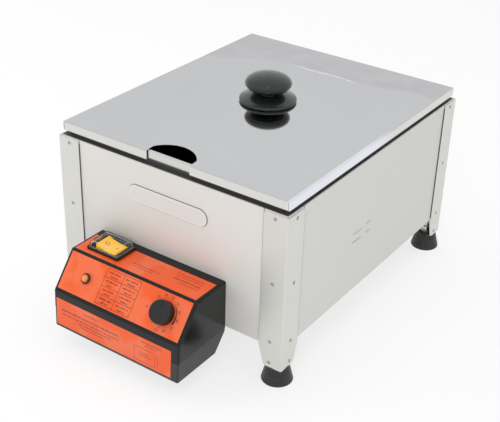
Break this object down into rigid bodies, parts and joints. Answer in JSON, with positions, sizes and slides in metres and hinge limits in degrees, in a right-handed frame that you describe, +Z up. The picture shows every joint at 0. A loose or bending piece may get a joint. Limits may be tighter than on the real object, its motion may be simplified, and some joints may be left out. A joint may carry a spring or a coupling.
{
  "type": "chocolate melter",
  "caption": "Countertop water-bath chocolate melter with a lift-out pan under a notched lid with a turned knob, and a front control box with rocker switch, lamp and dial.",
  "frame": {"origin": "on the work surface, under the middle of the object's whole footprint", "axes": "+X to the right along the front wall as seen from the front, +Y from the control box to the back, +Z up"},
  "size_m": [0.2898, 0.4202, 0.2386],
  "materials": {
    "bath_steel": "polished",
    "post_steel": "polished",
    "bracket_steel": "satin",
    "foot_rubber": "matte",
    "zinc_steel": "zinc plated",
    "stud_steel": "satin",
    "pan_steel": "satin",
    "lid_steel": "mirror polished",
    "knob_black": "gloss",
    "brass": "satin",
    "box_black": "gloss",
    "label_orange": "gloss print film",
    "switch_black": "satin",
    "hood_clear": "clear plastic",
    "rocker_amber": "gloss, see-through",
    "lens_amber": "gloss, see-through",
    "fitting_plastic": "matte",
    "dial_black": "satin",
    "shaft_steel": "satin",
    "thermostat_case": "matte",
    "probe_steel": "satin",
    "element_steel": "heat tinted satin",
    "seal_rubber": "matte",
    "wire_cover": "satin"
  },
  "bodies": {
    "base": {"tank": "bath_steel", "post_front_left": "post_steel", "post_front_right": "post_steel", "post_rear_left": "post_steel", "post_rear_right": "post_steel", "foot_bracket_front_left": "bracket_steel", "foot_bracket_front_right": "bracket_steel", "foot_bracket_rear_left": "bracket_steel", "foot_bracket_rear_right": "bracket_steel", "foot_front_left": "foot_rubber", "foot_front_right": "foot_rubber", "foot_rear_left": "foot_rubber", "foot_rear_right": "foot_rubber", "foot_bolts": "zinc_steel", "foot_cup_washers": "zinc_steel", "foot_washers": "zinc_steel", "foot_nuts": "zinc_steel", "box_nuts": "zinc_steel", "tray_screws": "zinc_steel", "terminal_screws": "zinc_steel", "thermostat_nut": "zinc_steel", "box_studs": "stud_steel", "element_ferrules": "brass", "element_nuts": "brass", "sensor_nut": "brass", "switch_blades": "brass", "thermostat_blades": "brass", "box_housing": "box_black", "box_tray": "box_black", "label_top": "label_orange", "label_slope": "label_orange", "label_front": "label_orange", "switch_body": "switch_black", "switch_frame": "switch_black", "switch_hood": "hood_clear", "pilot_lens": "lens_amber", "pilot_body": "fitting_plastic", "pilot_nut": "fitting_plastic", "terminal_block": "fitting_plastic", "cord_bush": "fitting_plastic", "thermostat_body": "thermostat_case", "thermostat_bulb": "probe_steel", "thermostat_capillary": "probe_steel", "sensor_pocket": "probe_steel", "element_pins": "probe_steel", "element_support": "probe_steel", "heating_element": "element_steel", "sensor_seal": "seal_rubber", "element_seals": "seal_rubber", "wires": "wire_cover"},
    "pan": {"pan": "pan_steel"},
    "lid": {"lid": "lid_steel", "lid_knob": "knob_black", "lid_knob_insert": "brass", "lid_knob_screw": "zinc_steel", "lid_knob_washer": "zinc_steel"},
    "dial": {"thermostat_knob": "dial_black", "thermostat_shaft": "shaft_steel"},
    "rocker": {"switch_rocker": "rocker_amber"}
  },
  "joints": [
    {"name": "pan_lift", "type": "slide", "parent": "base", "child": "pan", "axis": [0, 0, 1], "range_m": [0, 0.12]},
    {"name": "lid_lift", "type": "slide", "parent": "pan", "child": "lid", "axis": [0, 0, 1], "range_m": [0, 0.1]},
    {"name": "dial_turn", "type": "hinge", "parent": "base", "child": "dial", "pos_m": [0.0422, -0.19325, 0.07892], "axis": [0, 0.7836, -0.6212], "range_deg": [0, 270]},
    {"name": "rocker_tilt", "type": "hinge", "parent": "base", "child": "rocker", "pos_m": [-0.0538, -0.15801, 0.0944], "axis": [0, -1, 0], "range_deg": [0, 18]}
  ]
}
